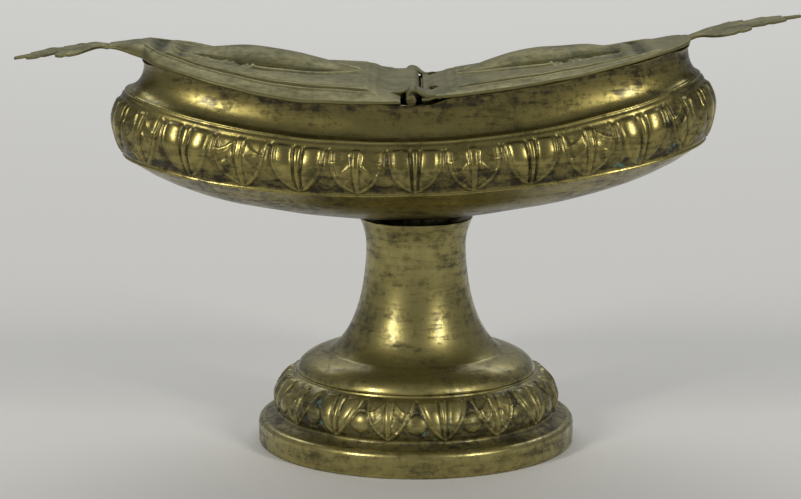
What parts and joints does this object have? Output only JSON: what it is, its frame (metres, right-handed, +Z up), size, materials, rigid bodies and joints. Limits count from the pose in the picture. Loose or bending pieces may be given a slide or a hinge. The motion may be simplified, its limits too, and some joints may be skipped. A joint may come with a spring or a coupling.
{
  "type": "incense boat",
  "caption": "Brass incense boat: a long bowl with a leafy band and two embossed lids, one hinged, bolted onto a trumpet foot.",
  "frame": {"origin": "centre of the foot on the ground plane", "axes": "+Z up along the foot, +X along the bowl towards the fixed lid's leaf"},
  "size_m": [0.1902, 0.0782, 0.1062],
  "materials": {
    "bowl_brass": "tarnished, rubbed bright on the high places",
    "lid_brass": "dull grey green patina",
    "pin_brass": "dark, hammered ends",
    "inner_brass": "dark tarnished",
    "foot_brass": "tarnished, polished by handling",
    "old_iron": "dark oxidised iron"
  },
  "bodies": {
    "vessel": {"bowl": "bowl_brass", "fixed_lid": "lid_brass", "hinge_pin": "pin_brass", "cross_bar": "inner_brass", "lid_rivets": "pin_brass", "stem": "foot_brass", "foot_base": "foot_brass", "clamp_bolt": "inner_brass", "head_washer": "inner_brass", "clamp_plate": "old_iron", "nut_washer": "old_iron", "clamp_nut": "old_iron"},
    "lid": {"opening_lid": "lid_brass"}
  },
  "joints": [
    {"name": "lid_hinge", "type": "hinge", "parent": "vessel", "child": "lid", "pos_m": [-0.0009, 0, 0.08839], "axis": [0, 1, 0], "range_deg": [0, 135]}
  ]
}
